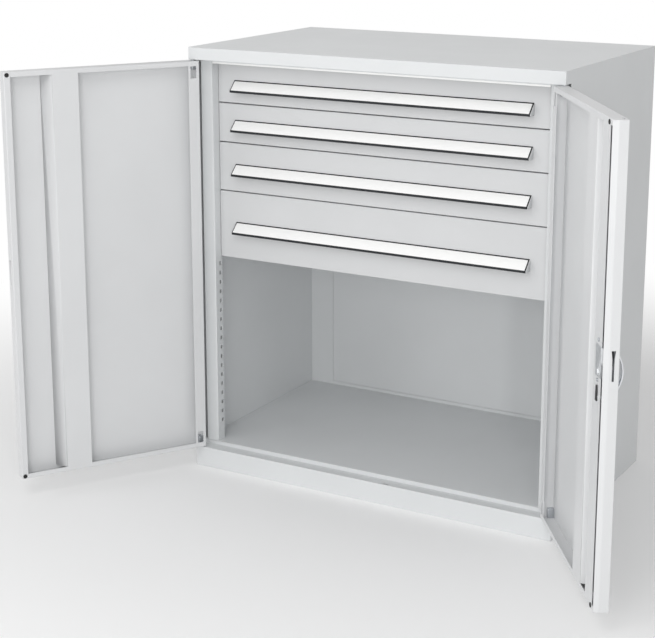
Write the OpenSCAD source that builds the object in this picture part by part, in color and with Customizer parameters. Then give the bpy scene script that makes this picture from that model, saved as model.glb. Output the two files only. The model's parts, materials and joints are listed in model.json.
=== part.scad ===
// Double-door tool cabinet: four drawers over an open compartment.
// The origin is on the floor under the middle of the carcass: X to the right, Y to the back, Z up.
// The doors are drawn open, the drawers shut and the door bolts drawn in.

/* [Cabinet] */
// Overall width
cab_w = 1000; // [900:10:1200]
// Overall depth with the doors shut
cab_d = 600; // [580:10:700]
// Overall height
cab_h = 1100; // [1080:10:1300]
// Thickness of the carcass sheet
sheet = 1.5; // [1:0.25:2]
// Height of the plinth under the doors
plinth_h = 53; // [45:1:70]
// Rise of the compartment floor over the plinth's ledge
floor_rise = 10; // [6:1:12]
// Width of the folded feet of the plinths
foot_w = 20; // [15:1:30]
// Width of the support rail under the floor
stiffener_w = 60; // [40:1:100]
// Height of the band over the doors
band_h = 31; // [25:1:45]
// Drop of the stop lip behind the band
stop_drop = 8; // [8:1:11]
// Width of the front posts
post_w = 46.5; // [44:0.5:60]
// Depth of the front posts
post_d = 30; // [26:1:36]
// Gap between a front post's face and the side panel
post_gap = 12; // [8:1:16]
// Depth of the lip that turns in at that gap
post_lip = 8; // [6:1:12]
// Room behind the slides, at least
rear_room = 15; // [10:1:40]

/* [Post slots] */
// Number of shelf slots in a front post
slot_count = 18; // [2:1:18]
// Distance between two slots
slot_pitch = 25; // [15:1:25]
// Height of the lowest slot over the floor
slot_first = 53; // [20:1:60]
// Width of a slot
slot_w = 9; // [5:0.5:10]
// Height of a slot
slot_h = 10; // [5:0.5:12]
// Distance of a slot's middle from the back of the post
slot_back = 8; // [7:0.5:10]

/* [Doors] */
// Thickness of a door
door_t = 32; // [30:1:40]
// Thickness of the door sheet
door_sheet = 1.2; // [0.8:0.1:1.5]
// Gap between a shut door and the carcass beside, above and below it
door_gap = 2; // [1.5:0.25:3]
// Gap between the two shut doors
meet_gap = 3; // [2:0.5:5]
// Room between a shut door and the posts behind it
pocket_clear = 2; // [1.8:0.1:4]
// Width of the inner lip at the left door's free edge
free_lip = 15; // [12:1:18]
// Width of the inner lips at the top and bottom
end_lip = 12; // [10:1:16]
// Width of the inner lip at the hinges
hinge_lip = 29; // [24:1:34]
// Width of the windows in the hinge lip
window_w = 16; // [12:1:18]
// Height of the windows in the hinge lip
window_h = 30; // [20:1:40]
// Distance of the windows from the lip's free edge
window_side = 5.5; // [4:0.5:7]
// Distance of the windows from the door's ends
window_end = 13; // [13:1:20]
// Distance of the stiffening channel's foot from the free edge
channel_out = 96.5; // [90:0.5:130]
// Width of the channel's flat
channel_flat = 66.5; // [50:0.5:70]
// Width of the channel's sloped side
channel_slope = 20; // [12:1:22]
// Depth of the straight part of the right door's free edge
edge_straight = 21; // [19:0.5:24]
// Set-back of the right door's free edge behind the straight part
edge_slant = 4.5; // [2:0.5:6]
// Diameter of the rubber buffers
buffer_d = 10.5; // [8:0.5:12]
// Height of the rubber buffers
buffer_t = 1.7; // [1:0.1:1.8]
// Distance of a buffer's middle from the door's edges
buffer_in = 7; // [6.5:0.5:8]
// Opening angle of the left door as drawn
left_open = 122; // [0:1:130]
// Opening angle of the right door as drawn
right_open = 125; // [0:1:130]

/* [Hinges] */
// Diameter of a hinge pin
pin_d = 6; // [5:0.5:8]
// Length of a hinge pin inside the door
pin_len = 22; // [16:1:28]
// Distance of the pivot from the door's hinge edge
pivot_in = 6; // [5.5:0.25:6.25]
// Distance of the pivot behind the door's face
pivot_deep = 10; // [9.75:0.25:12]
// Width of the washer round a hinge pin
washer_d = 11; // [10:0.5:12]
// Running clearance of pins and spindles, on the radius
run_fit = 0.05; // [0.03:0.01:0.1]
// Room round what passes a sheet, on the radius
pass_clear = 0.5; // [0.4:0.1:1]
// Wall of a hinge block round its bore
block_wall = 4; // [3:0.5:5]

/* [Drawers] */
// Drop of the first drawer below the band
stack_drop = 12; // [10:1:16]
// Height of the top drawer with its gap
drawer_1 = 100; // [95:5:110]
// Height of the second drawer with its gap
drawer_2 = 100; // [95:5:110]
// Height of the third drawer with its gap
drawer_3 = 125; // [95:5:130]
// Height of the bottom drawer with its gap
drawer_4 = 175; // [95:5:180]
// Gap between two drawer fronts
drawer_gap = 2.5; // [1.5:0.5:4]
// Gap between a drawer front and the posts
drawer_side_gap = 1; // [0.5:0.25:2]
// Distance of the drawer fronts behind the doors' faces
front_set = 60; // [58:1:66]
// Depth of a drawer front
front_t = 18; // [12:1:20]
// Width of the edges that turn in behind a drawer front
front_fold = 20; // [18:1:25]
// Thickness of the drawer sheet
drawer_sheet = 1.2; // [0.8:0.1:1.5]
// Length that a tray reaches over its rails, front and back together
tray_over = 4; // [2:1:10]
// Height of a drawer that its tray leaves free
tray_less = 25; // [22:1:30]
// Height of a tray's bottom over the front's lower edge
tray_rise = 5; // [3:0.5:8]

/* [Slides] */
// Width from the carrier plate to the tray
slide_w = 16; // [15.5:0.5:18]
// Thickness of the rails' sheet
rail_t = 1.6; // [1.4:0.1:1.7]
// Half the height of the fixed rail
outer_half = 23; // [22.5:0.5:25]
// Half the height of the middle rail
middle_half = 19; // [18.5:0.1:19.2]
// Half the height of the tray's rail
inner_half = 15; // [14:0.1:15.2]
// Reach of the flanges of the fixed and middle rails
flange_reach = 10; // [9:0.5:10]
// Reach of the flanges of the tray's rail
inner_reach = 9.5; // [8:0.5:9.5]
// Gap between two rails' webs
web_gap = 1.5; // [1:0.1:1.8]
// Running gap of the plastic glides
glide_gap = 0.3; // [0.2:0.05:0.4]
// Width of a glide
glide_w = 4; // [3:0.5:4]
// Length of a glide
glide_l = 60; // [30:5:80]
// Height of the rails' middle over the tray's bottom
slide_rise = 30; // [26:1:34]
// Length of the rails
rail_l = 480; // [430:5:480]
// Length that the middle rail is shorter
middle_less = 20; // [10:5:40]

/* [Grips] */
// Length of a grip
grip_l = 805; // [600:5:850]
// Reach of a grip in front of the drawer
grip_reach = 24; // [20:0.5:24]
// Height of the lip under the grip's slope
grip_lip = 5; // [3:0.5:7]
// Height of the flange behind the fingers
grip_flange = 30; // [26:1:34]
// Wall of a grip
grip_wall = 2.5; // [2:0.1:3]
// Drop of each grip's top under the middle of the front, less half its height
grip_drop = 5.5; // [0:0.5:8]
// Margin of the label in the grip
label_edge = 3; // [2:0.5:4]
// Thickness of the label
label_t = 0.8; // [0.5:0.1:1]

/* [Lock] */
// Distance of the lock's spindle from the free edge
lock_in = 38.5; // [38:0.5:40]
// Height of the spindle over the door's lower edge
lock_z = 503; // [480:1:520]
// Diameter of the spindle
spindle_d = 8; // [7:0.5:8]
// Radius at which the crank pins move the bolts
crank_r = 14; // [13.5:0.25:14.5]
// Diameter of a crank pin
crank_pin_d = 5; // [4:0.5:5]
// Side clearance of a crank pin in its slot
crank_side = 0.3; // [0.2:0.1:0.4]
// Room of a crank pin in its slot along the bolt
crank_room = 0.7; // [0.6:0.1:0.9]
// Reach of the locking tongue
tongue_r = 62; // [56:1:62]
// Width of the locking tongue
tongue_w = 12; // [10:0.5:12]
// Thickness of the locking tongue
tongue_t = 3; // [2.5:0.25:3]
// Distance of the tongue's middle behind the door's face
tongue_deep = 12.5; // [12.4:0.05:12.6]
// Width of a bolt bar
bolt_w = 14; // [12:0.5:14]
// Thickness of a bolt bar
bolt_t = 4; // [3:0.25:4]
// Distance of the bolts behind the door's face
bolt_deep = 5; // [4.5:0.25:5]
// Distance of a bolt's middle from the spindle
bolt_off = 20; // [19:0.5:20]
// Set-back of a bolt's tip inside the door's end
bolt_back = 1; // [0.5:0.25:2]
// Width of the stile that covers the bolts
stile_w = 55; // [50:0.5:56]
// Distance of the stile's edge from the free edge
stile_out = 18.5; // [16:0.5:20]
// Height of the slot for the tongue
edge_slot_h = 63; // [60:1:70]
// Width of the slot for the tongue at its foot
edge_slot_w = 4.7; // [4.4:0.1:6]
// Width of the slot for the tongue at its head
edge_slot_top = 8.7; // [7:0.1:9]
// Height of the tapered part of that slot
edge_slot_taper = 18; // [10:1:25]
// Length of the bow handle
bow_l = 84; // [80:1:90]
// Rise of the bow over its foot
bow_rise = 14; // [13:0.5:18]
// Width of the bow handle
bow_w = 26; // [20:0.5:28]
// Thickness of the bow and its foot
bow_t = 4; // [3:0.25:4.5]
// Diameter of the rosette under the handle
rosette_d = 52; // [40:1:60]
// Thickness of the rosette
rosette_t = 3; // [2:0.5:4]
// Distance of the key cylinder below the spindle
key_drop = 55; // [55:1:70]
// Diameter of the key cylinder
key_d = 11; // [10:0.5:11]
// Diameter of the key cylinder's housing
key_housing_d = 15; // [14.5:0.5:15]

/* [Hidden] */
$fn = 48;
eps = 0.5;

// Colours
shell_grey = [0.80, 0.81, 0.81];
door_grey = [0.78, 0.78, 0.79];
drawer_grey = [0.74, 0.74, 0.75];
zinc = [0.62, 0.63, 0.65];
dark = [0.16, 0.16, 0.17];
chrome = [0.86, 0.87, 0.89];

// Planes of the carcass
half_w = cab_w / 2;
in_w = half_w - sheet;
post_x = in_w - post_w;
front_y = -cab_d / 2;
drawer_y = front_y + front_set;
tray_y = drawer_y + front_t;
rail_y = tray_y + tray_over / 2;
back_y = max(cab_d / 2, rail_y + rail_l + rear_room);
pocket_y = front_y + door_t + pocket_clear;
post_back_y = pocket_y + post_d;
top_z = cab_h - sheet;
band_z = cab_h - band_h;
floor_z = plinth_h + floor_rise;

// Sizes of the doors
door_w = (cab_w - 2 * door_gap - meet_gap) / 2;
door_h = band_z - plinth_h - 2 * door_gap;
door_z = plinth_h + door_gap;
pivot_x = half_w - door_gap - pivot_in;
block_t = pivot_deep + pin_d / 2 + block_wall;
block_w = pivot_in + pin_d / 2 + block_wall;
channel_in = door_w - channel_out - channel_slope - channel_flat;

// Places in the right door, from its hinge edge, its face and its lower edge
lock_u = door_w - lock_in;
stile_end = door_w - stile_out;
stile_start = stile_end - stile_w;
key_z = lock_z - key_drop;
bolt_y = [bolt_deep, bolt_deep + bolt_t];
tongue_y = [tongue_deep - tongue_t / 2, tongue_deep + tongue_t / 2];
case_stand = 1;
case_y = [16, door_t + case_stand];
spindle_y = [bolt_deep - 1, case_y[0] + 7];
case_left = lock_u - 20;
case_z = [lock_z - 9, lock_z + 55];
case_step_z = lock_z + 22;
nut_d = 16;
nut_t = 3;
case_out = door_w - edge_slant - door_sheet - 0.3;
crank_arm = crank_r * sin(45);
crank_slot_u = (crank_arm + crank_r) / 2;
crank_slot_l = crank_r - crank_arm + crank_pin_d + 2 * crank_side;
crank_slot_h = crank_pin_d + 2 * crank_room;
hook_side = spindle_d / 2 + 0.8;
hook_w = 14.7;
hook_head = crank_arm + crank_slot_h / 2 + 2.9;
hook_gap = 2;
hook_bar = 8;
slot_low_z = lock_z - 10;
guide_h = 12;
guide_wall = 4;
guide_clear = 0.3;
guide_end = 45;
guide_far = 110;
lower_guides = [guide_end, (guide_end + lock_z - guide_far) / 2, lock_z - guide_far];
upper_guides = [lock_z + guide_far, (lock_z + guide_far + door_h - guide_end) / 2, door_h - guide_end];
screw_head_d = 8;
screw_head_t = 2.6;
screw_d = 4;
screw_l = 8;
screw_z = [lock_z - 17, lock_z + 66];
cam_w = 10;
cam_l = 32;
cam_t = 2.5;
key_face = -1.5;
key_rim = 3;
key_stand = 1;
crank_rim = 1;
keyway_w = 1.2;
keyway_h = 7;
keyway_l = 8;

// Places of the drawers
front_x = post_x - drawer_side_gap;
tray_x = post_x - slide_w;
tray_d = rail_l + tray_over;
stack_z = band_z - stack_drop;
pitches = [drawer_1, drawer_2, drawer_3, drawer_4];
function above(i) = i == 0 ? 0 : above(i - 1) + pitches[i - 1];
function head_z(i) = stack_z - above(i);
function foot_z(i) = head_z(i) - pitches[i] + drawer_gap;
function tray_z(i) = foot_z(i) + tray_rise;
function tray_h(i) = pitches[i] - tray_less;
function slide_z(i) = tray_z(i) + slide_rise;
function grip_z(i) = (head_z(i) + foot_z(i)) / 2 + (grip_reach + grip_lip) / 2 - grip_drop;
stack_foot_z = head_z(3) - pitches[3];

// A box between pairs of planes
module span(x, y, z) {
    translate([x[0], y[0], z[0]]) cube([x[1] - x[0], y[1] - y[0], z[1] - z[0]]);
}

module both_sides() {
    children();
    mirror([1, 0, 0]) children();
}

// ---------------------------------------------------------------- carcass

// The slot in a sheet that a bolt passes, from the right door shut
module bolt_slot(u, z) {
    x = half_w - door_gap - u;
    reach = bolt_w / 2 + pass_clear;
    span([x - reach, x + reach],
         [front_y + bolt_y[0] - pass_clear, front_y + bolt_y[1] + pass_clear],
         [z - eps, z + sheet + eps]);
}

module top_panel() {
    color(shell_grey) {
        span([-half_w, half_w], [front_y, back_y], [top_z, cab_h]);
        span([-half_w, half_w], [front_y, front_y + sheet], [band_z, top_z]);
        both_sides() span([in_w, half_w], [front_y + sheet, pocket_y], [band_z, top_z]);
        difference() {
            span([-in_w, in_w], [front_y + sheet, pocket_y], [band_z, band_z + sheet]);
            bolt_slot(lock_u + bolt_off, band_z);
        }
        span([-post_x, post_x], [pocket_y, pocket_y + sheet], [band_z - stop_drop, band_z + sheet]);
    }
}

module side_panel() {
    color(shell_grey) span([in_w, half_w], [pocket_y, back_y], [0, top_z]);
}

module back_panel() {
    color(shell_grey) span([-in_w, in_w], [back_y - sheet, back_y], [0, top_z]);
}

module floor_plate() {
    color(shell_grey) {
        span([-in_w, in_w], [pocket_y, back_y - sheet], [floor_z - sheet, floor_z]);
        span([-in_w, in_w], [pocket_y, pocket_y + sheet], [plinth_h, floor_z - sheet]);
    }
}

module front_plinth() {
    color(shell_grey) {
        span([-half_w, half_w], [front_y, front_y + sheet], [0, plinth_h]);
        both_sides() span([in_w, half_w], [front_y + sheet, pocket_y], [0, plinth_h]);
        difference() {
            span([-in_w, in_w], [front_y + sheet, pocket_y + sheet], [plinth_h - sheet, plinth_h]);
            bolt_slot(lock_u - bolt_off, plinth_h - sheet);
        }
        span([-in_w, in_w], [front_y + sheet, front_y + foot_w], [0, sheet]);
    }
}

module rear_plinth() {
    color(shell_grey) {
        span([-in_w, in_w], [back_y - 2 * sheet, back_y - sheet], [sheet, floor_z - sheet]);
        span([-in_w, in_w], [back_y - sheet - foot_w, back_y - sheet], [0, sheet]);
    }
}

// A channel under the floor that stands on the ground
module floor_stiffener() {
    ends = [pocket_y + sheet, back_y - sheet - foot_w];
    half = stiffener_w / 2;
    color(shell_grey) {
        span([-half, half], ends, [0, sheet]);
        both_sides() span([half - sheet, half], ends, [sheet, floor_z - sheet]);
    }
}

// The right post: a channel that is open towards the side panel
module front_post() {
    color(shell_grey) difference() {
        span([post_x, in_w], [pocket_y, post_back_y], [floor_z, top_z]);
        span([post_x + sheet, in_w + eps], [pocket_y + sheet, post_back_y - sheet],
             [floor_z - eps, top_z + eps]);
        span([in_w - post_gap, in_w + eps], [pocket_y - eps, pocket_y + 2 * sheet],
             [floor_z - eps, top_z + eps]);
        for (i = [0 : slot_count - 1]) {
            translate([post_x - eps, post_back_y - slot_back - slot_w / 2,
                       floor_z + slot_first + i * slot_pitch - slot_h / 2])
                cube([sheet + 2 * eps, slot_w, slot_h]);
        }
    }
    color(shell_grey) span([in_w - post_gap - sheet, in_w - post_gap],
                           [pocket_y + sheet, pocket_y + post_lip], [floor_z, top_z]);
}

// The right plate that carries the slides, with a foot to the side panel
module slide_carrier() {
    color(zinc) {
        span([post_x, post_x + sheet], [post_back_y, back_y - sheet], [stack_foot_z, stack_z]);
        span([post_x + sheet, in_w], [post_back_y, back_y - sheet], [stack_foot_z, stack_foot_z + sheet]);
    }
}

module hinge_pins() {
    color(zinc) both_sides() translate([pivot_x, front_y + pivot_deep, 0]) {
        translate([0, 0, plinth_h]) cylinder(d = washer_d, h = door_gap);
        translate([0, 0, door_z]) cylinder(d = pin_d, h = pin_len);
        translate([0, 0, band_z - door_gap]) cylinder(d = washer_d, h = door_gap);
        translate([0, 0, band_z - door_gap - pin_len]) cylinder(d = pin_d, h = pin_len);
    }
}

// ---------------------------------------------------------------- doors

// Places a door that is drawn shut from its hinge edge (x), its face (y) and its lower edge (z)
module at_left_door() {
    translate([-pivot_x, front_y + pivot_deep, door_z]) rotate([0, 0, -left_open])
        translate([-pivot_in, -pivot_deep, 0]) children();
}

module at_right_door() {
    mirror([1, 0, 0]) translate([-pivot_x, front_y + pivot_deep, door_z]) rotate([0, 0, -right_open])
        translate([-pivot_in, -pivot_deep, 0]) children();
}

// The tray of a door: its skin and its four edges, set back at the free edge by slant
module door_tray(slant) {
    bend = slant == 0 ? door_t : edge_straight;
    s = door_sheet;
    difference() {
        linear_extrude(door_h)
            polygon([[0, 0], [door_w, 0], [door_w, bend], [door_w - slant, door_t], [0, door_t]]);
        translate([0, 0, s]) linear_extrude(door_h - 2 * s)
            polygon([[s, s], [door_w - s, s], [door_w - s, bend], [door_w - slant - s, door_t],
                     [door_w - slant - s, door_t + s], [s, door_t + s]]);
        for (z = [s / 2, door_h - s / 2]) {
            translate([pivot_in, pivot_deep, z])
                cylinder(r = pin_d / 2 + pass_clear, h = s + 2 * eps, center = true);
        }
        edge_slot();
    }
}

// The lips that fold in at a door's ends and hinge edge
module door_lips(slant) {
    back = [door_t - door_sheet, door_t];
    out = door_w - slant - door_sheet / 2;
    inner = [door_sheet, door_h - door_sheet];
    for (z = [[inner[0], end_lip], [door_h - end_lip, inner[1]]]) span([door_sheet, out], back, z);
    difference() {
        span([door_sheet, hinge_lip], back, [end_lip, door_h - end_lip]);
        lip_windows();
    }
}

module lip_windows() {
    for (z = [window_end, door_h - window_end - window_h]) {
        translate([hinge_lip - window_side - window_w, door_t - door_sheet - eps, z])
            cube([window_w, door_sheet + 2 * eps, window_h]);
    }
}

// The tapered slot in a free edge that the tongue swings through
module edge_slot() {
    low = edge_slot_w / 2;
    high = edge_slot_top / 2;
    translate([door_w + eps, tongue_deep, slot_low_z]) rotate([90, 0, -90])
        linear_extrude(door_sheet + 2 * eps)
            polygon([[-low, 0], [low, 0], [low, edge_slot_h - edge_slot_taper], [high, edge_slot_h],
                     [-high, edge_slot_h], [-low, edge_slot_h - edge_slot_taper]]);
}

module left_door_panel() {
    color(door_grey) at_left_door() {
        door_tray(0);
        door_lips(0);
        span([door_w - free_lip, door_w - door_sheet], [door_t - door_sheet, door_t],
             [end_lip, door_h - end_lip]);
    }
}

module right_door_panel() {
    color(door_grey) at_right_door() {
        difference() {
            door_tray(edge_slant);
            bolt_hole(lock_u - bolt_off, 0);
            bolt_hole(lock_u + bolt_off, door_h - door_sheet);
            skin_hole(lock_z, spindle_d / 2 + pass_clear);
            skin_hole(key_z, key_housing_d / 2);
        }
        door_lips(edge_slant);
    }
}

module bolt_hole(u, z) {
    span([u - bolt_w / 2 - pass_clear, u + bolt_w / 2 + pass_clear],
         [bolt_y[0] - pass_clear, bolt_y[1] + pass_clear], [z - eps, z + door_sheet + eps]);
}

// A round hole along the door's depth, beside the free edge
module depth_bore(z, r, y) {
    translate([lock_u, y[1], z]) rotate([90, 0, 0]) cylinder(r = r, h = y[1] - y[0]);
}

module skin_hole(z, r) {
    depth_bore(z, r, [-eps, door_sheet + eps]);
}

module door_channel() {
    s = door_sheet;
    start = channel_in;
    flat = channel_in + channel_flat;
    foot = flat + channel_slope;
    color(door_grey) translate([0, 0, end_lip]) linear_extrude(door_h - 2 * end_lip)
        polygon([[start, s], [start, door_t], [flat, door_t], [foot, s], [foot - s - s / 2, s],
                 [flat - s / 2, door_t - s], [start + s, door_t - s], [start + s, s]]);
}

// Blocks in the hinge corners that turn on the hinge pins
module hinge_blocks() {
    h = pin_len;
    color(zinc) for (z = [door_sheet, door_h - door_sheet - h]) {
        difference() {
            span([door_sheet, block_w], [door_sheet, block_t], [z, z + h]);
            translate([pivot_in, pivot_deep, z - eps])
                cylinder(r = pin_d / 2 + run_fit, h = h + 2 * eps);
        }
    }
}

module buffers(u) {
    color(dark) for (z = [buffer_in, door_h - buffer_in]) {
        translate([u, door_t + buffer_t, z]) rotate([90, 0, 0]) cylinder(d = buffer_d, h = buffer_t);
    }
}

// ---------------------------------------------------------------- lock

module lock_stile() {
    color(door_grey) difference() {
        union() {
            span([stile_start, stile_end], [door_t - door_sheet, door_t], [end_lip, door_h - end_lip]);
            span([stile_start, stile_start + door_sheet], [door_sheet, door_t - door_sheet],
                 [end_lip, door_h - end_lip]);
        }
        span([case_left, stile_end + eps], [door_t - 2 * door_sheet, door_t + eps], case_z);
        depth_bore(key_z, key_housing_d / 2, [door_t - 2 * door_sheet, door_t + eps]);
        for (z = screw_z) depth_bore(z, screw_d / 2, [door_t - 2 * door_sheet, door_t + eps]);
    }
}

// The case that bears the spindle's inner end, with its nut, and covers the gap beside the stile
module lock_case() {
    color(zinc) difference() {
        union() {
            span([case_left, stile_end], case_y, case_z);
            span([case_left, case_out], [case_y[0], door_t], [case_step_z, case_z[1]]);
            translate([lock_u, case_y[1] + nut_t, lock_z]) rotate([90, 0, 0])
                cylinder(d = nut_d, h = nut_t, $fn = 6);
        }
        depth_bore(lock_z, spindle_d / 2 + run_fit, [case_y[0] - eps, spindle_y[1] + case_stand]);
    }
}

module lock_screws() {
    color(zinc) for (z = screw_z) {
        depth_bore(z, screw_head_d / 2, [door_t, door_t + screw_head_t]);
        depth_bore(z, screw_d / 2, [door_t - screw_l, door_t]);
    }
}

module handle_rosette() {
    color(chrome) difference() {
        depth_bore(lock_z, rosette_d / 2, [-rosette_t, 0]);
        depth_bore(lock_z, spindle_d / 2 + run_fit, [-rosette_t - eps, eps]);
    }
}

module key_housing() {
    color(chrome) difference() {
        union() {
            depth_bore(key_z, key_housing_d / 2, [0, door_t + key_stand]);
            depth_bore(key_z, key_housing_d / 2 + key_rim, [key_face, 0]);
        }
        depth_bore(key_z, key_d / 2 + run_fit, [key_face - eps, door_t + key_stand + eps]);
    }
}

// A guide that holds a bolt against the door's skin
module bolt_guide(u, z) {
    reach = bolt_w / 2 + guide_clear;
    difference() {
        span([u - reach - guide_wall, u + reach + guide_wall], [door_sheet, bolt_y[1] + guide_clear + 2],
             [z - guide_h / 2, z + guide_h / 2]);
        span([u - reach, u + reach], [bolt_y[0] - guide_clear, bolt_y[1] + guide_clear],
             [z - guide_h, z + guide_h]);
    }
}

module bolt_guides() {
    color(dark) {
        for (z = lower_guides) bolt_guide(lock_u - bolt_off, z);
        for (z = upper_guides) bolt_guide(lock_u + bolt_off, z);
    }
}

// The bow: an arc over a flat foot that turns on the rosette
module handle_bow() {
    foot = -rosette_t;
    radius = (pow(bow_l / 2, 2) + pow(bow_rise, 2)) / (2 * bow_rise);
    middle = foot - bow_rise + radius;
    color(chrome) {
        translate([lock_u - bow_w / 2, 0, lock_z]) rotate([90, 0, 90]) linear_extrude(bow_w) {
            intersection() {
                difference() {
                    translate([middle, 0]) circle(r = radius, $fn = 160);
                    translate([middle, 0]) circle(r = radius - bow_t, $fn = 160);
                }
                translate([foot - bow_rise - 1, -bow_l]) square([bow_rise + 1, 2 * bow_l]);
            }
            translate([foot - bow_t / 2, -bow_l / 2 + bow_t]) square([bow_t / 2, bow_l - 2 * bow_t]);
        }
        depth_bore(lock_z, spindle_d / 2, [foot - bow_t / 2, spindle_y[0]]);
    }
}

// The tongue with its two crank pins and the rest of the spindle
module lock_tongue() {
    color(zinc) translate([lock_u, 0, lock_z]) {
        translate([-tongue_w / 2, tongue_y[0], 0]) cube([tongue_w, tongue_t, tongue_r]);
        rotate([-90, 0, 0]) {
            translate([0, 0, tongue_y[0]]) cylinder(r = crank_r + crank_pin_d / 2 + crank_rim, h = tongue_t);
            translate([0, 0, spindle_y[0]]) cylinder(d = spindle_d, h = spindle_y[1] - spindle_y[0]);
            for (side = [-1, 1]) {
                translate([side * crank_arm, -side * crank_arm, bolt_y[0]])
                    cylinder(d = crank_pin_d, h = tongue_y[0] - bolt_y[0]);
            }
        }
    }
}

module lock_cylinder() {
    color(zinc) difference() {
        depth_bore(key_z, key_d / 2, [key_face, door_t + key_stand]);
        span([lock_u - keyway_w / 2, lock_u + keyway_w / 2], [key_face - eps, key_face + keyway_l],
             [key_z - keyway_h / 2, key_z + keyway_h / 2]);
    }
    color(dark) translate([lock_u - cam_w / 2, door_t + key_stand, key_z - cam_w / 2])
        cube([cam_w, cam_t, cam_l]);
}

// A bolt about the spindle: its bar runs down, its hook goes round the spindle to the crank pin
module bolt(bar_l) {
    low = -hook_head - hook_gap - hook_bar;
    translate([0, bolt_y[1], 0]) rotate([90, 0, 0]) linear_extrude(bolt_t) difference() {
        union() {
            translate([-bolt_off - bolt_w / 2, -bar_l]) square([bolt_w, bar_l + low + hook_bar]);
            translate([-bolt_off - bolt_w / 2, low])
                square([bolt_off + bolt_w / 2 + hook_side + hook_w, hook_bar]);
            translate([hook_side, low]) square([hook_w, hook_head - low]);
        }
        translate([crank_slot_u - crank_slot_l / 2, crank_arm - crank_slot_h / 2])
            square([crank_slot_l, crank_slot_h]);
    }
}

module lower_bolt() {
    color(zinc) translate([lock_u, 0, lock_z]) bolt(lock_z - bolt_back);
}

module upper_bolt() {
    color(zinc) translate([lock_u, 0, lock_z]) mirror([1, 0, 0]) mirror([0, 0, 1])
        bolt(door_h - lock_z - bolt_back);
}

// ---------------------------------------------------------------- drawers

// The front: a folded pan whose edges turn in at the back, where the tray is fixed to them
module drawer_front(i) {
    s = drawer_sheet;
    f = front_fold;
    color(drawer_grey) difference() {
        span([-front_x, front_x], [drawer_y, tray_y], [foot_z(i), head_z(i)]);
        span([-front_x + s, front_x - s], [drawer_y + s, tray_y - s], [foot_z(i) + s, head_z(i) - s]);
        span([-front_x + f, front_x - f], [tray_y - 2 * s, tray_y + eps], [foot_z(i) + f, head_z(i) - f]);
    }
}

module drawer_tray(i) {
    s = drawer_sheet;
    color(drawer_grey) difference() {
        span([-tray_x, tray_x], [tray_y, tray_y + tray_d], [tray_z(i), tray_z(i) + tray_h(i)]);
        span([-tray_x + s, tray_x - s], [tray_y + s, tray_y + tray_d - s],
             [tray_z(i) + s, tray_z(i) + tray_h(i) + eps]);
    }
}

// The grip: a sloped face that stands off the front, with room for fingers under it
module drawer_grip(i) {
    r = grip_reach;
    w = grip_wall;
    drop = w * sqrt(2);
    color(dark) along_grip(i, grip_l)
        polygon([[0, 0], [-r, -r], [-r, -r - grip_lip], [-r + w, -r - grip_lip], [-r + w, -r + w - drop],
                 [-w, -w - drop], [-w, -grip_flange], [0, -grip_flange]]);
}

module drawer_label(i) {
    low = grip_reach - label_edge * sin(45);
    high = label_edge * sin(45);
    t = label_t * sin(45);
    color("white") along_grip(i, grip_l - 2 * label_edge)
        polygon([[-high, -high], [-low, -low], [-low - t, -low + t], [-high - t, -high + t]]);
}

// Extrudes a profile of depth and height along a drawer's grip
module along_grip(i, l) {
    translate([-l / 2, drawer_y, grip_z(i)]) rotate([90, 0, 90]) linear_extrude(l) children();
}

// A right-hand channel rail with its web at x = web and flanges to x = tip
module rail(web, tip, half, y, z) {
    out = web < tip ? [web, web + rail_t] : [web - rail_t, web];
    run = web < tip ? [out[1], tip] : [tip, out[0]];
    span(out, y, [z - half, z + half]);
    for (side = [-1, 1]) {
        inner = side * (half - rail_t);
        span(run, y, [min(z + side * half, z + inner), max(z + side * half, z + inner)]);
    }
}

module outer_rail(i) {
    rail(post_x, post_x - flange_reach, outer_half, [rail_y, rail_y + rail_l], slide_z(i));
}

// The middle rail, with plastic glides that run in the fixed rail and on the tray's rail
module middle_rail(i) {
    web = post_x - rail_t - web_gap;
    glides = [[middle_half, outer_half - rail_t - glide_gap],
              [inner_half + glide_gap, middle_half - rail_t]];
    ends = [rail_y + middle_less / 2, rail_y + rail_l - middle_less / 2];
    rail(web, web - flange_reach, middle_half, ends, slide_z(i));
    for (y = [ends[0] + glide_l / 2, ends[1] - glide_l / 2], side = [-1, 1], band = glides) {
        translate([web - flange_reach / 2, y, slide_z(i) + side * (band[0] + band[1]) / 2])
            cube([glide_w, glide_l, band[1] - band[0]], center = true);
    }
}

module drawer_rails(i) {
    color(zinc) both_sides()
        rail(tray_x, tray_x + inner_reach, inner_half, [rail_y, rail_y + rail_l], slide_z(i));
}

module drawer_middle_rails(i) {
    color(zinc) both_sides() middle_rail(i);
}

module cabinet_slides() {
    color(zinc) both_sides() for (i = [0 : 3]) outer_rail(i);
}

// ---------------------------------------------------------------- nodes

top_panel();
mirror([1, 0, 0]) side_panel();  // left_side
side_panel();  // right_side
back_panel();
floor_plate();
front_plinth();
rear_plinth();
floor_stiffener();
mirror([1, 0, 0]) front_post();  // left_front_post
front_post();  // right_front_post
mirror([1, 0, 0]) slide_carrier();  // left_slide_carrier
slide_carrier();  // right_slide_carrier
hinge_pins();
cabinet_slides();

left_door_panel();
at_left_door() door_channel();  // left_door_channel
at_left_door() hinge_blocks();  // left_door_hinge_blocks
at_left_door() buffers(door_w - buffer_in);  // left_door_buffers
right_door_panel();
at_right_door() door_channel();  // right_door_channel
at_right_door() hinge_blocks();  // right_door_hinge_blocks
at_right_door() buffers(stile_end - buffer_in);  // right_door_buffers

at_right_door() lock_stile();
at_right_door() lock_case();
at_right_door() lock_screws();
at_right_door() handle_rosette();
at_right_door() key_housing();
at_right_door() bolt_guides();
at_right_door() handle_bow();
at_right_door() lock_tongue();
at_right_door() lock_cylinder();
at_right_door() upper_bolt();
at_right_door() lower_bolt();

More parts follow.
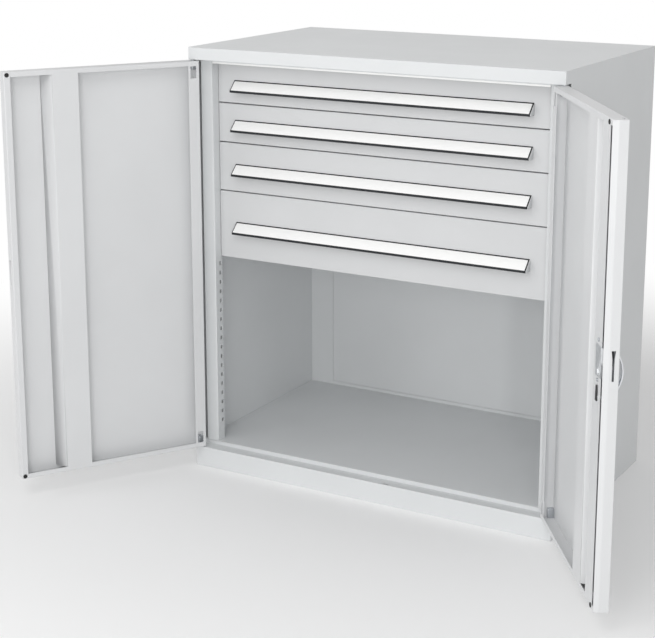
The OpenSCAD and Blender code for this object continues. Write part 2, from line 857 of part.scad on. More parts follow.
drawer_front(0);  // drawer_1_front
drawer_tray(0);  // drawer_1_tray
drawer_grip(0);  // drawer_1_grip
drawer_label(0);  // drawer_1_label
drawer_rails(0);  // drawer_1_rails
drawer_middle_rails(0);  // drawer_1_middle_rails
drawer_front(1);  // drawer_2_front
drawer_tray(1);  // drawer_2_tray
drawer_grip(1);  // drawer_2_grip
drawer_label(1);  // drawer_2_label
drawer_rails(1);  // drawer_2_rails
drawer_middle_rails(1);  // drawer_2_middle_rails
drawer_front(2);  // drawer_3_front
drawer_tray(2);  // drawer_3_tray
drawer_grip(2);  // drawer_3_grip
drawer_label(2);  // drawer_3_label
drawer_rails(2);  // drawer_3_rails
drawer_middle_rails(2);  // drawer_3_middle_rails
drawer_front(3);  // drawer_4_front
drawer_tray(3);  // drawer_4_tray
drawer_grip(3);  // drawer_4_grip
drawer_label(3);  // drawer_4_label
drawer_rails(3);  // drawer_4_rails
drawer_middle_rails(3);  // drawer_4_middle_rails
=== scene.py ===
"""Finishes, small parts and studio for the double-door tool cabinet. Lengths are in metres."""

import json
from math import cos, degrees, radians

import bmesh
import bpy
from mathutils import Matrix, Vector

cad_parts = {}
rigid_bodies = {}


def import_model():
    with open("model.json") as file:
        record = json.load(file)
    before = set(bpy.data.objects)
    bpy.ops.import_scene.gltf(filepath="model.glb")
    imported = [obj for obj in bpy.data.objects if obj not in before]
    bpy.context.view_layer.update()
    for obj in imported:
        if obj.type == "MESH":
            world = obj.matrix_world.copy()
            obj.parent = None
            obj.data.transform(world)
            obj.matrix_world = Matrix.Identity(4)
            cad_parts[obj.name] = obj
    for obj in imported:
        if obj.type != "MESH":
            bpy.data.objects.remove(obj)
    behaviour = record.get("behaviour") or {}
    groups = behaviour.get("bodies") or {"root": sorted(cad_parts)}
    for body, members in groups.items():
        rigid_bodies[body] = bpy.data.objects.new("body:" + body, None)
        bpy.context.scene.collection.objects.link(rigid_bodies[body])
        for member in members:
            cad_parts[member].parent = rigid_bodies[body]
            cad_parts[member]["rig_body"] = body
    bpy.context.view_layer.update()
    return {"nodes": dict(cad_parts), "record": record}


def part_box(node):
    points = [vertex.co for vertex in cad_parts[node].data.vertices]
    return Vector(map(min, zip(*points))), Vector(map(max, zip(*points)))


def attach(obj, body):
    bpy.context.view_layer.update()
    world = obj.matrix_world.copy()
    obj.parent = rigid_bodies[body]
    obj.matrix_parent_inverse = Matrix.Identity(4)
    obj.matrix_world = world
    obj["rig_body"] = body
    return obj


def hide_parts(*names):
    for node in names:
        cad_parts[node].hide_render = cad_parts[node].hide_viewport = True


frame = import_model()

bl_info = {
    "name": "Tool Cabinet Finishes",
    "version": (1, 0, 0),
    "blender": (4, 5, 0),
    "location": "3D View > Sidebar > Tool Cabinet",
    "description": "Finishes, folded edges and small parts of a double-door tool cabinet",
    "category": "Object",
}

MM = 0.001
DRAWERS = (1, 2, 3, 4)

# copies of CAD nodes: points this close are one, faces this flat are one, edges are rounded
# from the third value and shown crisp from the fourth
MERGED_WITHIN = 0.005 * MM
FLAT_WITHIN = radians(1)
FOLDED_FROM = radians(20)
CRISP_FROM = radians(32)

# the white strip whose colour paints the bright line on the stop's edge, a painted highlight: how
# far it reaches from the stop's lower edge and the posts' front faces
STRIP_BELOW, STRIP_ABOVE = 2.5 * MM, 2 * MM
STRIP_BEFORE, STRIP_BEHIND = 0.25 * MM, 1.75 * MM

# the stiffening field stamped into the back panel: its distance from the edges, its slope's
# width and its depth
FIELD_MARGIN, FIELD_SLOPE, FIELD_DEPTH = 70 * MM, 5 * MM, 3 * MM

# how far a label card lies below its place in the CAD, at its upper and its lower edge
CARD_UPPER_DROP, CARD_LOWER_DROP = 0.9 * MM, 1.4 * MM

# the plates on a grip's ends
CAP_LIP, CAP_THICKNESS = 5 * MM, 1.2 * MM

# the cam on the key cylinder: its thickness, the height over the key's axis at which its taper
# starts, and the share of its width that is left there
CAM_THICKNESS, CAM_TAPER_FROM, CAM_TIP_SHARE = 2.5 * MM, 15 * MM, 0.45

# sockets in the screws and the buffers: hexagonal with 6 sides, round with none
SCREW_SOCKET = {"wide": 3.2 * MM, "deep": 1.4 * MM, "sides": 6}
BUFFER_SOCKET = {"wide": 4.5 * MM, "deep": 0.4 * MM, "sides": 0}
SOCKET_RIM, SOCKET_DRAFT = 0.2 * MM, 0.05 * MM

# the floor's disc, and the distances from the cabinet's middle between which it fades to white
FLOOR_RADIUS, FLOOR_FADE_FROM, FLOOR_FADE_TO = 40, 0.9, 2.4

# each lamp's name, its strength in the studio's settings, its place and its width
LAMPS = (
    ("Key light", "key", (2.45, -3.7, 1.35), 0.25),
    ("Fill light", "fill", (-2.6, -3.4, 1.8), 2.0),
    ("Overhead light", "overhead", (0.2, -3.0, 3.4), 1.6),
    ("Front light", "front", (1.3, -4.2, 1.5), 1.2),
)
LAMPS_AIM = Vector((0.2, -0.3, 0.55))

# the camera: its place, how far it looks down and turns, its lens and its shift
CAMERA_PLACE = (1.7581, -3.5266, 1.5216)
CAMERA_DOWN, CAMERA_TURN = radians(13.133), radians(29.733)
CAMERA_SENSOR_MM, CAMERA_LENS_MM = 36, 86.661
CAMERA_SHIFT = (-0.0087, -0.12)


# ---------------------------------------------------------------- colours and nodes


def linear(code):
    """Turns an sRGB hex colour into Blender's linear colour."""
    levels = [int(code[i : i + 2], 16) / 255 for i in (1, 3, 5)]
    return [c / 12.92 if c <= 0.04045 else ((c + 0.055) / 1.055) ** 2.4 for c in levels] + [1.0]


def lighter(colour, factor):
    """A linear colour made lighter, or darker below 1."""
    return [min(c * factor, 1.0) for c in colour[:3]] + [1.0]


def add(tree, kind, settings=None, sockets=None):
    """Adds a shader node with its settings, and sets its sockets or links them to other nodes."""
    made = tree.nodes.new(kind)
    for name, value in (settings or {}).items():
        setattr(made, name, value)
    for name, value in (sockets or {}).items():
        if isinstance(value, bpy.types.NodeSocket):
            tree.links.new(value, made.inputs[name])
        else:
            made.inputs[name].default_value = value
    return made


def new_material(name):
    """An empty material with its Principled shader and the object's own coordinates."""
    material = bpy.data.materials.new(name)
    material.use_nodes = True
    tree = material.node_tree
    tree.nodes.clear()
    shader = add(tree, "ShaderNodeBsdfPrincipled")
    add(tree, "ShaderNodeOutputMaterial", None, {"Surface": shader.outputs["BSDF"]})
    place = add(tree, "ShaderNodeTexCoord").outputs["Object"]
    return material, tree, shader, place


def noise(tree, place, size, detail=2.0):
    """Noise whose blotches are about size wide."""
    sockets = {"Vector": place, "Scale": 1 / size, "Detail": detail}
    return add(tree, "ShaderNodeTexNoise", None, sockets).outputs["Fac"]


def blend_colour(tree, factor, low, high):
    """A colour that goes from low to high as factor goes from 0.3 to 0.7."""
    ramp = add(tree, "ShaderNodeValToRGB", None, {"Fac": factor})
    ends = ramp.color_ramp.elements
    ends[0].position, ends[0].color = 0.3, low
    ends[1].position, ends[1].color = 0.7, high
    return ramp.outputs["Color"]


def spread(tree, factor, low, high):
    """A number that goes from low to high with factor."""
    made = add(tree, "ShaderNodeMapRange", None, {"Value": factor, "To Min": low, "To Max": high})
    return made.outputs["Result"]


def coloured(tree, shader, pattern, low, high):
    """Lets the base colour follow a pattern."""
    tree.links.new(blend_colour(tree, pattern, low, high), shader.inputs["Base Color"])


def roughened(tree, shader, pattern, low, high):
    """Lets the roughness follow a pattern."""
    tree.links.new(spread(tree, pattern, low, high), shader.inputs["Roughness"])


def bump(tree, shader, height, depth):
    """Raises the surface by height times depth."""
    made = add(tree, "ShaderNodeBump", None, {"Height": height, "Distance": depth, "Strength": 1.0})
    tree.links.new(made.outputs["Normal"], shader.inputs["Normal"])


def stretched(tree, place, along, share=0.02):
    """Coordinates that draw a pattern out along an axis, for brushing and rolling lines."""
    scale = [1.0, 1.0, 1.0]
    scale["XYZ".index(along)] = share
    return add(tree, "ShaderNodeMapping", None, {"Vector": place, "Scale": scale}).outputs["Vector"]


# ---------------------------------------------------------------- finishes


def powder_coat(name, colour, roughness):
    """Polyester powder coat on sheet steel: an even, faintly cloudy satin skin with fine peel."""
    material, tree, shader, place = new_material(name)
    shader.inputs["IOR"].default_value = 1.5
    cloud = noise(tree, place, size=180 * MM, detail=3.0)
    coloured(tree, shader, cloud, low=lighter(colour, 0.985), high=lighter(colour, 1.015))
    haze = noise(tree, place, size=60 * MM)
    roughened(tree, shader, haze, low=roughness - 0.04, high=roughness + 0.04)
    # the real peel is about 1.5 mm across, drawn twice as coarse so that it shows
    bump(tree, shader, noise(tree, place, size=3 * MM, detail=1.0), depth=0.03 * MM)
    return material


def galvanised_steel(name, colour):
    """Hot-dip galvanised sheet: dull bright metal in flat crystals about 9 mm wide."""
    material, tree, shader, place = new_material(name)
    shader.inputs["Metallic"].default_value = 1.0
    crystal = add(tree, "ShaderNodeTexVoronoi", None, {"Vector": place, "Scale": 1 / (9 * MM)})
    cells = add(tree, "ShaderNodeSeparateColor", None, {"Color": crystal.outputs["Color"]}).outputs
    coloured(tree, shader, cells["Red"], low=lighter(colour, 0.82), high=lighter(colour, 1.12))
    roughened(tree, shader, cells["Green"], low=0.38, high=0.56)
    bump(tree, shader, noise(tree, place, size=2 * MM), depth=0.02 * MM)
    return material


def zinc_plate(name, colour):
    """Bright zinc plating on turned or stamped steel: clean metal with fine drawing lines."""
    material, tree, shader, place = new_material(name)
    shader.inputs["Metallic"].default_value = 1.0
    lines = noise(tree, stretched(tree, place, "Z"), size=0.8 * MM)
    coloured(tree, shader, lines, low=lighter(colour, 0.88), high=lighter(colour, 1.1))
    roughened(tree, shader, lines, low=0.26, high=0.4)
    bump(tree, shader, lines, depth=0.01 * MM)
    return material


def cast_zinc(name, colour):
    """Die-cast zinc: satin metal with the faint cloud of the mould's skin."""
    material, tree, shader, place = new_material(name)
    shader.inputs["Metallic"].default_value = 1.0
    cloud = noise(tree, place, size=8 * MM, detail=3.0)
    coloured(tree, shader, cloud, low=lighter(colour, 0.9), high=lighter(colour, 1.08))
    roughened(tree, shader, cloud, low=0.46, high=0.6)
    bump(tree, shader, noise(tree, place, size=1.2 * MM), depth=0.03 * MM)
    return material


def chrome_plate(name, colour):
    """Polished chrome on a zinc casting: a mirror with a breath of haze from handling."""
    material, tree, shader, place = new_material(name)
    shader.inputs["Metallic"].default_value = 1.0
    haze = noise(tree, place, size=14 * MM, detail=3.0)
    coloured(tree, shader, haze, low=lighter(colour, 0.95), high=colour)
    roughened(tree, shader, haze, low=0.05, high=0.14)
    return material


def black_rubber(name, colour):
    """Moulded rubber: matt black with a fine dull grain."""
    material, tree, shader, place = new_material(name)
    shader.inputs["IOR"].default_value = 1.52
    grain = noise(tree, place, size=0.7 * MM, detail=3.0)
    coloured(tree, shader, grain, low=colour, high=lighter(colour, 1.5))
    roughened(tree, shader, grain, low=0.68, high=0.86)
    bump(tree, shader, grain, depth=0.05 * MM)
    return material


def moulded_nylon(name, colour):
    """Moulded nylon: black, low gloss, slightly cloudy from the glass in it."""
    material, tree, shader, place = new_material(name)
    shader.inputs["IOR"].default_value = 1.53
    cloud = noise(tree, place, size=5 * MM, detail=3.0)
    coloured(tree, shader, cloud, low=colour, high=lighter(colour, 1.6))
    roughened(tree, shader, cloud, low=0.42, high=0.56)
    bump(tree, shader, noise(tree, place, size=1 * MM), depth=0.02 * MM)
    return material


def anodised_aluminium(name, colour):
    """Dark anodised aluminium extrusion: satin, with fine lines along the extrusion."""
    material, tree, shader, place = new_material(name)
    shader.inputs["Metallic"].default_value = 1.0
    lines = noise(tree, stretched(tree, place, "X"), size=0.6 * MM)
    coloured(tree, shader, lines, low=lighter(colour, 0.85), high=lighter(colour, 1.15))
    roughened(tree, shader, lines, low=0.36, high=0.5)
    bump(tree, shader, lines, depth=0.01 * MM)
    return material


def label_card(name, colour):
    """A white card under a clear strip: matt paper with a soft clear gloss over it."""
    material, tree, shader, place = new_material(name)
    shader.inputs["IOR"].default_value = 1.49
    shader.inputs["Coat Weight"].default_value = 0.35
    shader.inputs["Coat Roughness"].default_value = 0.18
    fibre = noise(tree, place, size=2 * MM, detail=3.0)
    coloured(tree, shader, fibre, low=lighter(colour, 0.975), high=colour)
    roughened(tree, shader, fibre, low=0.5, high=0.62)
    bump(tree, shader, fibre, depth=0.01 * MM)
    return material


# each finish: its maker, its name and, for the powder coats, its roughness
MAKERS = {
    "shell": (powder_coat, "Powder coat, carcass", 0.42),
    "door": (powder_coat, "Powder coat, doors", 0.42),
    "front": (powder_coat, "Powder coat, drawer fronts", 0.45),
    "tray": (powder_coat, "Powder coat, trays", 0.5),
    "galvanised": (galvanised_steel, "Galvanised steel"),
    "zinc": (zinc_plate, "Zinc-plated steel"),
    "cast_zinc": (cast_zinc, "Die-cast zinc"),
    "chrome": (chrome_plate, "Polished chrome"),
    "rubber": (black_rubber, "Black rubber"),
    "guide": (moulded_nylon, "Black nylon"),
    "grip": (anodised_aluminium, "Dark anodised aluminium"),
    "label": (label_card, "Label card under clear strip"),
}


def finish(slot):
    """The material of one of the record's slots, made once."""
    maker, name, *rest = MAKERS[slot]
    if name in bpy.data.materials:
        return bpy.data.materials[name]
    return maker(name, list(getattr(bpy.context.scene.cabinet_finish, slot)), *rest)


def slot_of(node):
    """The record's material slot of a CAD node."""
    for part in frame["record"]["subparts"]:
        if part["node"] == node:
            return part["material_slot"]
    raise ValueError(f"the record has no material slot for {node}")


def coat(node):
    """Gives a CAD node its finish."""
    mesh = frame["nodes"][node].data
    mesh.materials.clear()
    mesh.materials.append(finish(slot_of(node)))


# ---------------------------------------------------------------- shapes


def shown(name, bm, slot, body):
    """Makes an object of a finished bmesh, with its finish, riding on its body."""
    mesh = bpy.data.meshes.new(name)
    bm.to_mesh(mesh)
    bm.free()
    piece = bpy.data.objects.new(name, mesh)
    bpy.context.scene.collection.objects.link(piece)
    mesh.materials.append(finish(slot))
    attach(piece, body)
    return piece


def body_of(node):
    """The body that carries a CAD node."""
    return frame["nodes"][node]["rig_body"]


def node_copy(node):
    """A closed copy of a CAD node with its doubles merged and its flat faces joined."""
    bm = bmesh.new()
    bm.from_mesh(frame["nodes"][node].data)
    bmesh.ops.remove_doubles(bm, verts=bm.verts, dist=MERGED_WITHIN)
    bmesh.ops.dissolve_limit(bm, angle_limit=FLAT_WITHIN, verts=bm.verts, edges=bm.edges)
    bmesh.ops.connect_verts_concave(bm, faces=bm.faces)
    return bm


def reach(face, edge):
    """How far a face reaches from one of its edges."""
    start, along = edge.verts[0].co, (edge.verts[1].co - edge.verts[0].co).normalized()
    return max((v.co - start).cross(along).length for v in face.verts)


def fold_edges(bm, least):
    """The outer edges between two faces that both reach further than least from the edge."""
    folds = []
    for edge in bm.edges:
        if len(edge.link_faces) != 2 or not edge.is_convex:
            continue
        if edge.calc_face_angle(0) < FOLDED_FROM:
            continue
        if min(reach(face, edge) for face in edge.link_faces) > least:
            folds.append(edge)
    return folds


def soften(bm, radius, least):
    """Rounds the outer edges between faces wider than least, and gives the new faces."""
    return bmesh.ops.bevel(
        bm,
        geom=fold_edges(bm, least),
        affect="EDGES",
        offset=radius,
        offset_type="OFFSET",
        segments=3,
        profile=0.5,
        material=-1,
        clamp_overlap=True,
    )["faces"]


def folded(node, radius, least=3.5 * MM):
    """Replaces a CAD node by its copy with rounded folds."""
    bm = node_copy(node)
    for face in soften(bm, radius, least):
        face.smooth = True
    piece = shown(node + "_folded", bm, slot_of(node), body_of(node))
    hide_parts(node)


def widest_faces(bm):
    """The faces that are nearly as wide as the widest one."""
    nearly = 0.9 * max(face.calc_area() for face in bm.faces)
    return [face for face in bm.faces if face.calc_area() > nearly]


def sink(bm, face, wide, deep, sides):
    """Sinks a socket into the middle of a round face: hexagonal with 6 sides, round with none."""
    middle = face.calc_center_median()
    first = (face.verts[0].co - middle).normalized()
    bmesh.ops.inset_region(bm, faces=[face], thickness=SOCKET_RIM, use_even_offset=True)
    for vert in face.verts:
        out = (vert.co - middle).normalized()
        turn = degrees(first.angle(out))
        reach_out = wide / 2
        if sides:
            reach_out /= cos(radians(turn % (360 / sides) - 180 / sides))
        vert.co = middle + out * reach_out
    bmesh.ops.inset_region(bm, faces=[face], thickness=SOCKET_DRAFT, depth=-deep)


def smoothed(name, bm, slot, body):
    """Shows a bmesh with smooth faces and crisp corners."""
    for face in bm.faces:
        face.smooth = True
    piece = shown(name, bm, slot, body)
    piece.data.set_sharp_from_angle(angle=CRISP_FROM)
    return piece


def rounded(node, radius, least=1 * MM, socket=None, slot=None):
    """Replaces a cast, turned or moulded CAD node by its copy with rounded edges and sockets.

    Its finish is the node's own, or that of another slot.
    """
    bm = node_copy(node)
    soften(bm, radius, least)
    if socket:
        for face in widest_faces(bm):
            sink(bm, face, **socket)
    piece = smoothed(node + "_rounded", bm, slot or slot_of(node), body_of(node))
    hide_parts(node)


def joint_place(name):
    """The place of a turning part of the lock: x across the door, y into it, z up."""
    joint = next(j for j in frame["record"]["behaviour"]["joints"] if j["name"] == name)
    into, up = Vector(joint["axis"]), Vector((0, 0, 1))
    place = Matrix((into.cross(up), into, up)).transposed().to_4x4()
    place.translation = joint["pos_m"]
    return place


def cut(bm, place, depth, keep_outer):
    """Cuts a bmesh across a joint's axis at a depth and closes it."""
    bmesh.ops.bisect_plane(
        bm,
        geom=bm.verts[:] + bm.edges[:] + bm.faces[:],
        plane_co=place @ Vector((0, depth, 0)),
        plane_no=place.to_3x3() @ Vector((0, 1, 0)),
        clear_outer=not keep_outer,
        clear_inner=keep_outer,
    )
    bmesh.ops.holes_fill(bm, edges=[edge for edge in bm.edges if edge.is_boundary])


# ---------------------------------------------------------------- settings


def colour_setting(name, code, note):
    """A colour that a user may change, from its sRGB hex value."""
    return bpy.props.FloatVectorProperty(
        name=name, description=note, subtype="COLOR", size=4, min=0, max=1, default=linear(code)
    )


class CabinetFinish(bpy.types.PropertyGroup):
    """Colours of the cabinet's finishes."""

    shell: colour_setting("Carcass", "#d9dbdc", "Powder coat of the carcass")
    door: colour_setting("Doors", "#d9dadb", "Powder coat of the doors")
    front: colour_setting("Drawer fronts", "#cccdce", "Powder coat of the drawer fronts")
    tray: colour_setting("Trays", "#cbccce", "Powder coat of the trays")
    galvanised: colour_setting("Galvanised steel", "#b4b8bc", "Slide rails and carriers")
    zinc: colour_setting("Zinc plating", "#c3c6ca", "Pins, bolts and screws")
    cast_zinc: colour_setting("Cast zinc", "#d2d4d6", "Lock case and key cylinder")
    chrome: colour_setting("Chrome", "#e4e6e9", "Handle, rosette and key housing")
    rubber: colour_setting("Rubber", "#19191a", "Door buffers")
    guide: colour_setting("Nylon", "#1d1d1f", "Bolt guides")
    grip: colour_setting("Grips", "#3a3b3d", "Anodised drawer grips")
    label: colour_setting("Labels", "#fafaf9", "Label cards in the grips")


class CabinetShape(bpy.types.PropertyGroup):
    """Sizes of the rounded edges."""

    fold: bpy.props.FloatProperty(
        name="Fold radius",
        description="Outer radius of the sheet's folds",
        default=1.6 * MM,
        min=0.5 * MM,
        max=3 * MM,
        unit="LENGTH",
    )
    break_edge: bpy.props.FloatProperty(
        name="Broken edge",
        description="Radius of the edges of cast and turned parts",
        default=0.6 * MM,
        min=0.1 * MM,
        max=1 * MM,
        unit="LENGTH",
    )


class CabinetStudio(bpy.types.PropertyGroup):
    """Light and floor of the studio."""

    key: bpy.props.FloatProperty(
        name="Key light", description="Strength of the light from the right", default=16.5, min=0
    )
    fill: bpy.props.FloatProperty(
        name="Fill light", description="Strength of the light from the left", default=26.0, min=0
    )
    overhead: bpy.props.FloatProperty(
        name="Overhead light", description="Strength of the light from above", default=19.0, min=0
    )
    front: bpy.props.FloatProperty(
        name="Front light", description="Strength of the light by the camera", default=33.0, min=0
    )
    ambient: bpy.props.FloatProperty(
        name="Ambient", description="Strength of the light from all round", default=0.58, min=0
    )
    floor: colour_setting("Floor", "#fafafa", "Matt floor under the cabinet")


# ---------------------------------------------------------------- operators


class CABINET_OT_carcass(bpy.types.Operator):
    """Coats the carcass and rounds its folds"""

    bl_idname = "cabinet.carcass"
    bl_label = "Carcass"

    def execute(self, context):
        radius = context.scene.cabinet_shape.fold
        for node in (
            "top_panel",
            "front_plinth",
            "rear_plinth",
            "floor_plate",
            "floor_stiffener",
            "left_front_post",
            "right_front_post",
        ):
            folded(node, radius)
        folded("left_side", radius / 3, least=1 * MM)
        folded("right_side", radius / 3, least=1 * MM)
        stamped("back_panel", radius / 3)
        seal_strip()
        return {"FINISHED"}


def stamped(node, radius):
    """Replaces the back panel by its copy with a shallow stiffening field stamped into it."""
    bm = node_copy(node)
    for face in soften(bm, radius, least=1 * MM):
        face.smooth = True
    for face in widest_faces(bm):
        depth = -FIELD_DEPTH if face.normal.y > 0 else FIELD_DEPTH
        bmesh.ops.inset_region(bm, faces=[face], thickness=FIELD_MARGIN, use_even_offset=True)
        slope = bmesh.ops.inset_region(
            bm, faces=[face], thickness=FIELD_SLOPE, depth=depth, use_even_offset=True
        )
        for side in slope["faces"]:
            side.smooth = False
    piece = shown(node + "_stamped", bm, slot_of(node), body_of(node))
    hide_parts(node)


def seal_strip():
    """The white strip on the edge of the stop over the drawers; its colour paints the bright line
    there, a painted highlight.
    """
    front, post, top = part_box("drawer_1_front"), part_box("left_front_post"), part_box("top_panel")
    low = Vector((front[0][0], post[0][1] - STRIP_BEFORE, top[0][2] - STRIP_BELOW))
    high = Vector((front[1][0], post[0][1] + STRIP_BEHIND, top[0][2] + STRIP_ABOVE))
    bm = bmesh.new()
    bmesh.ops.create_cube(bm, size=1)
    bmesh.ops.scale(bm, vec=high - low, verts=bm.verts)
    bmesh.ops.translate(bm, vec=(low + high) / 2, verts=bm.verts)
    soften(bm, radius=0.2 * MM, least=0.5 * MM)
    # painted highlight: the strip takes the labels' white so that the stop's edge shows a bright
    # line
    smoothed("seal_strip", bm, "label", body_of("top_panel"))


class CABINET_OT_doors(bpy.types.Operator):
    """Coats the two doors with their channels and rounds their folds"""

    bl_idname = "cabinet.doors"
    bl_label = "Doors"

    def execute(self, context):
        radius = context.scene.cabinet_shape.fold
        for side in ("left", "right"):
            folded(f"{side}_door_panel", radius)
            folded(f"{side}_door_channel", radius)
        folded("lock_stile", radius)
        return {"FINISHED"}


class CABINET_OT_drawers(bpy.types.Operator):
    """Makes the drawer fronts and trays, their grips and labels"""

    bl_idname = "cabinet.drawers"
    bl_label = "Drawers"

    def execute(self, context):
        radius = context.scene.cabinet_shape.fold
        for i in DRAWERS:
            folded(f"drawer_{i}_front", radius)
            folded(f"drawer_{i}_tray", radius)
            folded(f"drawer_{i}_grip", context.scene.cabinet_shape.break_edge, least=2 * MM)
            label_card_in_grip(i)
            grip_caps(i)
        return {"FINISHED"}


def label_card_in_grip(i):
    """Replaces a label by a card with softened edges that lies lower on the grip's slope."""
    node = f"drawer_{i}_label"
    low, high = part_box(node)
    bm = node_copy(node)
    for vert in bm.verts:
        upper = vert.co.y > (low[1] + high[1]) / 2
        drop = CARD_UPPER_DROP if upper else CARD_LOWER_DROP
        vert.co += Vector((0, -drop, -drop))
    soften(bm, radius=0.2 * MM, least=0.5 * MM)
    piece = smoothed(node + "_card", bm, slot_of(node), body_of(node))
    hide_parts(node)


def grip_caps(i):
    """Thin painted plates that close the two ends of a grip."""
    low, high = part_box(f"drawer_{i}_grip")
    reach_out = high[1] - low[1]
    bm = bmesh.new()
    for side, start in ((1, high[0]), (-1, low[0])):
        outline = [
            bm.verts.new((start, high[1] - out, high[2] - down))
            for out, down in (
                (0, 0),
                (reach_out, reach_out),
                (reach_out, reach_out + CAP_LIP),
                (0, reach_out + CAP_LIP),
            )
        ]
        solid = bmesh.ops.extrude_face_region(bm, geom=[bm.faces.new(outline)])["geom"]
        moved = [vert for vert in solid if isinstance(vert, bmesh.types.BMVert)]
        bmesh.ops.translate(bm, vec=(side * CAP_THICKNESS, 0, 0), verts=moved)
    bmesh.ops.recalc_face_normals(bm, faces=bm.faces)
    soften(bm, radius=0.4 * MM, least=1 * MM)
    smoothed(f"drawer_{i}_grip_caps", bm, "front", body_of(f"drawer_{i}_grip"))


class CABINET_OT_slides(bpy.types.Operator):
    """Gives the slides and their carriers their finish"""

    bl_idname = "cabinet.slides"
    bl_label = "Slides"

    def execute(self, context):
        coat("left_slide_carrier")
        coat("right_slide_carrier")
        coat("cabinet_slides")
        for i in DRAWERS:
            coat(f"drawer_{i}_rails")
            coat(f"drawer_{i}_middle_rails")
        return {"FINISHED"}


class CABINET_OT_lock(bpy.types.Operator):
    """Makes the handle, the lock and the bolts"""

    bl_idname = "cabinet.lock"
    bl_label = "Lock"

    def execute(self, context):
        radius = context.scene.cabinet_shape.break_edge
        rounded("handle_bow", 2 * radius, least=3 * MM)
        rounded("handle_rosette", 1.5 * radius, least=2 * MM)
        rounded("lock_case", 2 * radius, least=3 * MM)
        rounded("lock_screws", 1.5 * radius, least=2 * MM, socket=SCREW_SOCKET)
        rounded("key_housing", radius / 2)
        key_parts(radius / 2)
        # painted shade: the tongue is coated black, so that the slot beside it looks as dark as a
        # shaded slot
        rounded("lock_tongue", radius, slot="guide")
        for node in ("upper_bolt", "lower_bolt", "bolt_guides"):
            rounded(node, radius)
        return {"FINISHED"}


def key_parts(radius):
    """The turned key cylinder, and the black cam on its inner end, tapered to its tip."""
    place = joint_place("key_turn")
    local = place.inverted()
    deepest = max((local @ vert.co).y for vert in frame["nodes"]["lock_cylinder"].data.vertices)
    inner = deepest - CAM_THICKNESS
    bm = node_copy("lock_cylinder")
    cut(bm, place, inner, keep_outer=False)
    soften(bm, radius, least=1 * MM)
    piece = smoothed("key_cylinder_turned", bm, "cast_zinc", "key_cylinder")
    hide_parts("lock_cylinder")
    bm = node_copy("lock_cylinder")
    cut(bm, place, inner, keep_outer=True)
    for vert in bm.verts:
        seat = local @ vert.co
        if seat.z > CAM_TAPER_FROM:
            vert.co = place @ Vector((seat.x * CAM_TIP_SHARE, seat.y, seat.z))
    soften(bm, radius, least=1 * MM)
    smoothed("key_cam", bm, "guide", "key_cylinder")


class CABINET_OT_fittings(bpy.types.Operator):
    """Gives the hinge pins, hinge blocks and buffers their finish"""

    bl_idname = "cabinet.fittings"
    bl_label = "Fittings"

    def execute(self, context):
        radius = context.scene.cabinet_shape.break_edge
        rounded("hinge_pins", radius / 2)
        for side in ("left", "right"):
            rounded(f"{side}_door_hinge_blocks", radius)
            rounded(f"{side}_door_buffers", radius, socket=BUFFER_SOCKET)
        return {"FINISHED"}


class CABINET_OT_stage(bpy.types.Operator):
    """Makes the floor, the lights, the white surroundings and the camera"""

    bl_idname = "cabinet.stage"
    bl_label = "Stage"

    def execute(self, context):
        studio = context.scene.cabinet_studio
        make_floor(list(studio.floor))
        for name, strength, place, size in LAMPS:
            area_light(name, getattr(studio, strength), place, size)
        make_world(studio.ambient)
        make_camera()
        context.scene.view_settings.view_transform = "Standard"
        return {"FINISHED"}


def make_floor(colour):
    """A matt floor that fades into the white surroundings away from the cabinet."""
    bm = bmesh.new()
    bmesh.ops.create_circle(bm, cap_ends=True, radius=FLOOR_RADIUS, segments=64)
    mesh = bpy.data.meshes.new("floor")
    bm.to_mesh(mesh)
    bm.free()
    floor = bpy.data.objects.new("floor", mesh)
    bpy.context.scene.collection.objects.link(floor)
    material, tree, shader, place = new_material("Matt floor")
    shader.inputs["Roughness"].default_value = 0.9
    shader.inputs["Base Color"].default_value = colour
    far = add(tree, "ShaderNodeVectorMath", {"operation": "LENGTH"}, {0: place})
    fade = add(
        tree,
        "ShaderNodeMapRange",
        {"interpolation_type": "SMOOTHSTEP"},
        {"Value": far.outputs["Value"], "From Min": FLOOR_FADE_FROM, "From Max": FLOOR_FADE_TO},
    )
    rays = add(tree, "ShaderNodeLightPath")
    seen = add(
        tree,
        "ShaderNodeMath",
        {"operation": "MULTIPLY"},
        {0: fade.outputs["Result"], 1: rays.outputs["Is Camera Ray"]},
    )
    white = add(tree, "ShaderNodeEmission")
    both = add(
        tree,
        "ShaderNodeMixShader",
        None,
        {"Fac": seen.outputs["Value"], 1: shader.outputs["BSDF"], 2: white.outputs["Emission"]},
    )
    output = next(n for n in tree.nodes if n.type == "OUTPUT_MATERIAL")
    tree.links.new(both.outputs["Shader"], output.inputs["Surface"])
    mesh.materials.append(material)


def area_light(name, power, place, size):
    """A square lamp that faces the cabinet."""
    lamp = bpy.data.lights.new(name, "AREA")
    lamp.energy = power
    lamp.size = size
    light = bpy.data.objects.new(name, lamp)
    light.location = place
    light.rotation_euler = (LAMPS_AIM - light.location).to_track_quat("-Z", "Y").to_euler()
    bpy.context.scene.collection.objects.link(light)


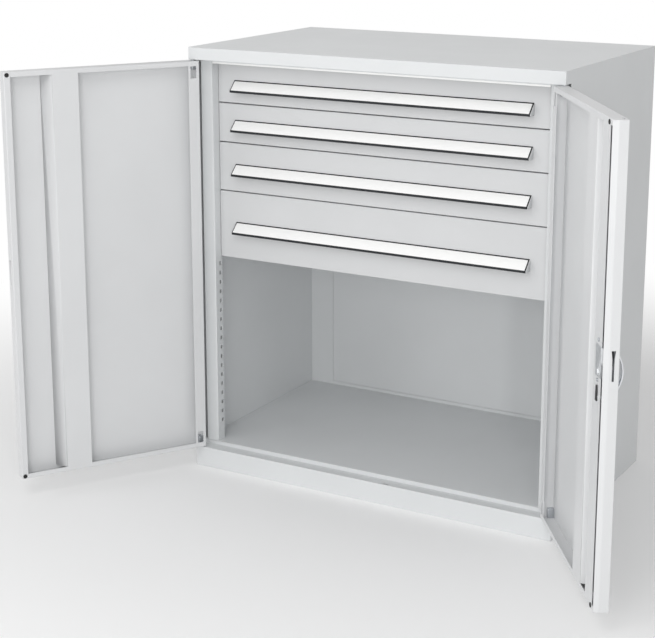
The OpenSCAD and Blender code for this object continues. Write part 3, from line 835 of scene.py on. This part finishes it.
def make_world(strength):
    """White surroundings for the camera and for reflections, and an even light on the cabinet."""
    world = bpy.data.worlds.new("Studio")
    world.use_nodes = True
    tree = world.node_tree
    tree.nodes.clear()
    rays = add(tree, "ShaderNodeLightPath")
    first = add(
        tree,
        "ShaderNodeMath",
        {"operation": "MAXIMUM"},
        {0: rays.outputs["Is Camera Ray"], 1: rays.outputs["Is Glossy Ray"]},
    )
    seen = add(
        tree,
        "ShaderNodeMath",
        {"operation": "MAXIMUM"},
        {0: first.outputs["Value"], 1: rays.outputs["Is Transmission Ray"]},
    )
    plain = linear("#ffffff")
    even = add(tree, "ShaderNodeBackground", None, {"Color": plain, "Strength": strength})
    white = add(tree, "ShaderNodeBackground", None, {"Color": plain, "Strength": 1.0})
    both = add(
        tree,
        "ShaderNodeMixShader",
        None,
        {
            "Fac": seen.outputs["Value"],
            1: even.outputs["Background"],
            2: white.outputs["Background"],
        },
    )
    add(tree, "ShaderNodeOutputWorld", None, {"Surface": both.outputs["Shader"]})
    bpy.context.scene.world = world


def make_camera():
    """A camera in front of the cabinet, to its right and above it."""
    camera = bpy.data.cameras.new("Camera")
    camera.sensor_width = CAMERA_SENSOR_MM
    camera.lens = CAMERA_LENS_MM
    camera.shift_x, camera.shift_y = CAMERA_SHIFT
    seat = bpy.data.objects.new("Camera", camera)
    seat.location = CAMERA_PLACE
    seat.rotation_euler = (radians(90) - CAMERA_DOWN, 0, CAMERA_TURN)
    bpy.context.scene.collection.objects.link(seat)
    bpy.context.scene.camera = seat


class CABINET_PT_panel(bpy.types.Panel):
    """Lists the steps that dress the cabinet"""

    bl_idname = "CABINET_PT_panel"
    bl_label = "Tool Cabinet"
    bl_space_type = "VIEW_3D"
    bl_region_type = "UI"
    bl_category = "Tool Cabinet"

    def draw(self, context):
        for step in STEPS:
            self.layout.operator(step.bl_idname)
        for group in GROUPS:
            settings = getattr(context.scene, group)
            for name in settings.__annotations__:
                self.layout.prop(settings, name)


STEPS = (
    CABINET_OT_carcass,
    CABINET_OT_doors,
    CABINET_OT_drawers,
    CABINET_OT_slides,
    CABINET_OT_lock,
    CABINET_OT_fittings,
    CABINET_OT_stage,
)
GROUPS = {
    "cabinet_finish": CabinetFinish,
    "cabinet_shape": CabinetShape,
    "cabinet_studio": CabinetStudio,
}


def register():
    for name, group in GROUPS.items():
        bpy.utils.register_class(group)
        setattr(bpy.types.Scene, name, bpy.props.PointerProperty(type=group))
    for step in STEPS:
        bpy.utils.register_class(step)
    bpy.utils.register_class(CABINET_PT_panel)


def unregister():
    bpy.utils.unregister_class(CABINET_PT_panel)
    for step in reversed(STEPS):
        bpy.utils.unregister_class(step)
    for name, group in GROUPS.items():
        delattr(bpy.types.Scene, name)
        bpy.utils.unregister_class(group)


def main():
    register()
    bpy.ops.cabinet.carcass()
    bpy.ops.cabinet.doors()
    bpy.ops.cabinet.drawers()
    bpy.ops.cabinet.slides()
    bpy.ops.cabinet.lock()
    bpy.ops.cabinet.fittings()
    bpy.ops.cabinet.stage()


if __name__ == "__main__":
    main()
